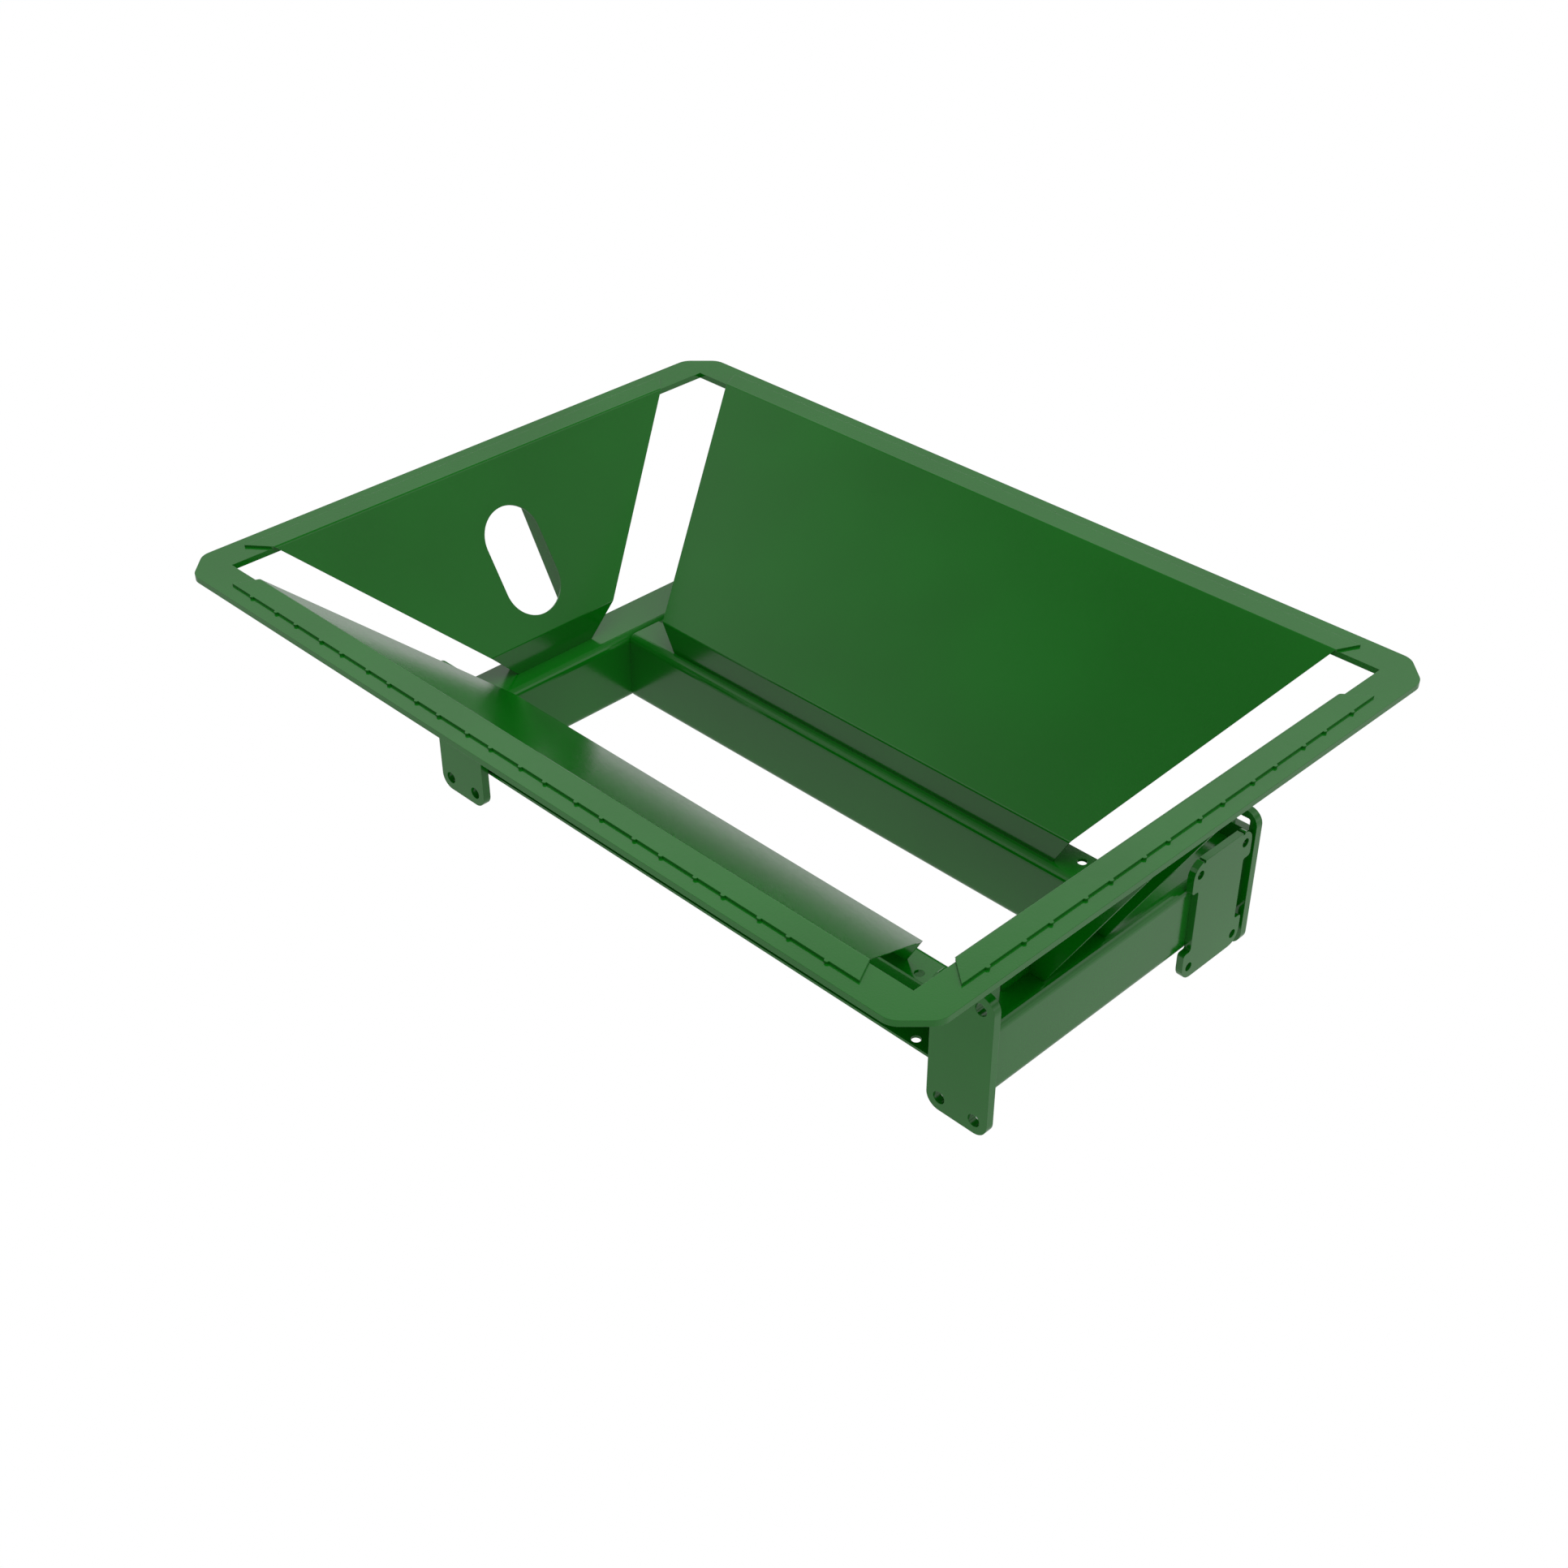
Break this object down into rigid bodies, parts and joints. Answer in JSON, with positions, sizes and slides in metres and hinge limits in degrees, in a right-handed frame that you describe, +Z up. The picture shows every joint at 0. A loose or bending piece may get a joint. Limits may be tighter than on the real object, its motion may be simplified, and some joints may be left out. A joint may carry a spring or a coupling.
{
  "type": "gravity wagon hopper top",
  "caption": "Open steel funnel of folded panels under a flat rim, on a channel base frame with bolting plates.",
  "frame": {"origin": "bottom centre of the bounding box: under the middle of the rim, level with the corner plates' lower edges", "axes": "+Z up out of the mouth, +X along the long sides towards the side plate, +Y towards the slotted back plates"},
  "size_m": [1.3, 0.938, 0.43],
  "materials": {
    "green_paint": "semi-gloss paint over welded steel"
  },
  "bodies": {
    "root": {"rim_plate": "green_paint", "end_panel_left": "green_paint", "end_panel_right": "green_paint", "long_panel_front": "green_paint", "long_panel_back": "green_paint", "base_end_left": "green_paint", "base_end_right": "green_paint", "base_long_front": "green_paint", "base_long_back": "green_paint", "corner_plate_front_left": "green_paint", "corner_plate_front_right": "green_paint", "corner_plate_back_left": "green_paint", "corner_plate_back_right": "green_paint", "side_plate": "green_paint", "end_rib_left_front": "green_paint", "end_rib_left_back": "green_paint", "end_rib_right_front": "green_paint", "end_rib_right_back": "green_paint"}
  },
  "joints": []
}
